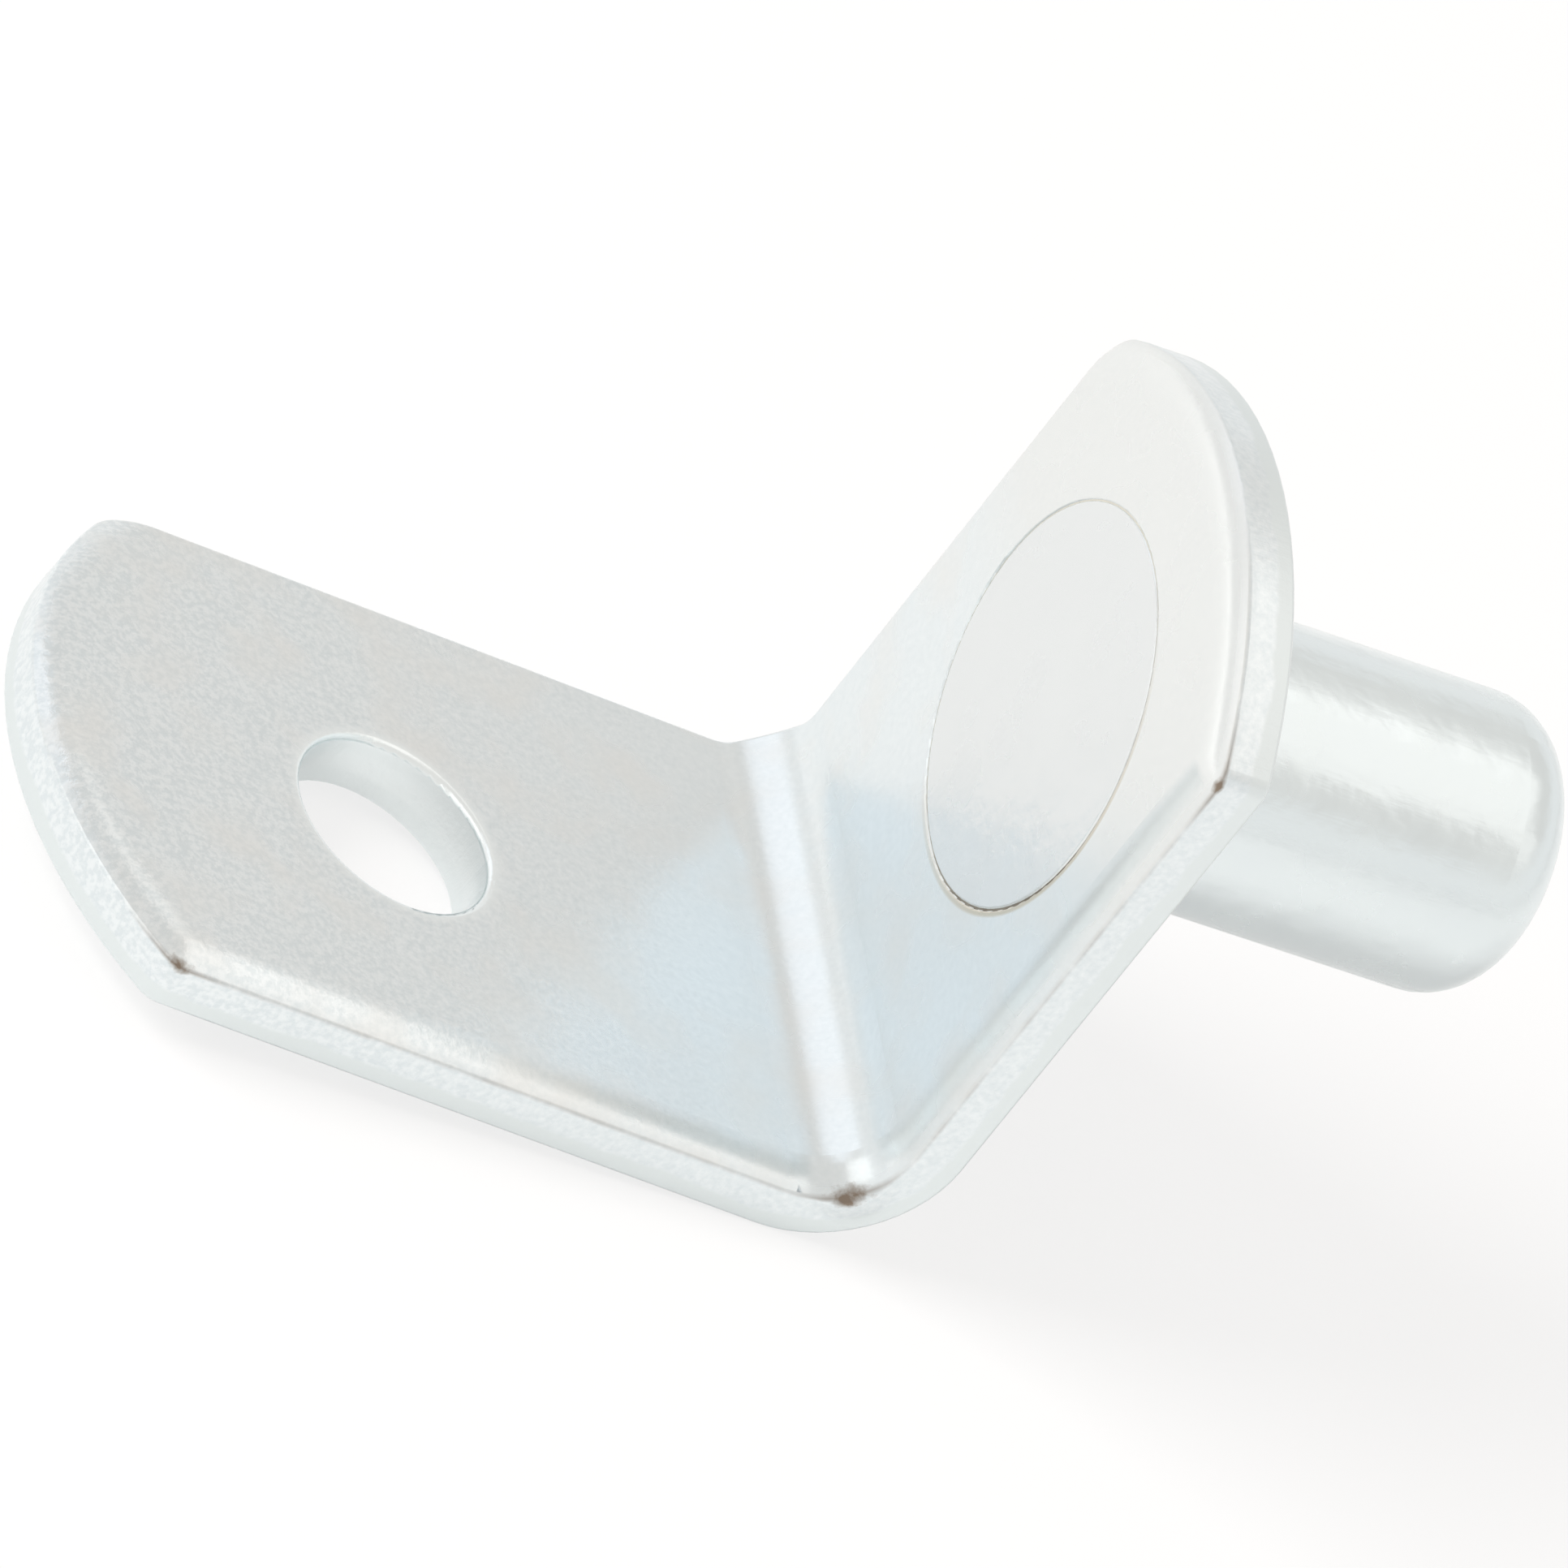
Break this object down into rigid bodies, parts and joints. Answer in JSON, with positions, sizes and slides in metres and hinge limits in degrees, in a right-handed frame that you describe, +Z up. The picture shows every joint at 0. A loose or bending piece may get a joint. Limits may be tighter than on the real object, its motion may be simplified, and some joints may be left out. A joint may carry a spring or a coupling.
{
  "type": "shelf support pin",
  "caption": "L-shaped steel shelf support with a plug-in pin and a screw hole.",
  "frame": {"origin": "where the pin's axis crosses the face that lies against the cabinet side", "axes": "+X along the pin into the cabinet side, +Z up in use, Y across the plate"},
  "size_m": [0.0299, 0.0128, 0.017],
  "materials": {
    "plated_plate": "bright zinc plating over sheared sheet steel, satin with a fine grain",
    "plated_pin": "bright zinc plating over drawn steel, smoother than the plate"
  },
  "bodies": {
    "root": {"bracket": "plated_plate", "pin": "plated_pin"}
  },
  "joints": []
}
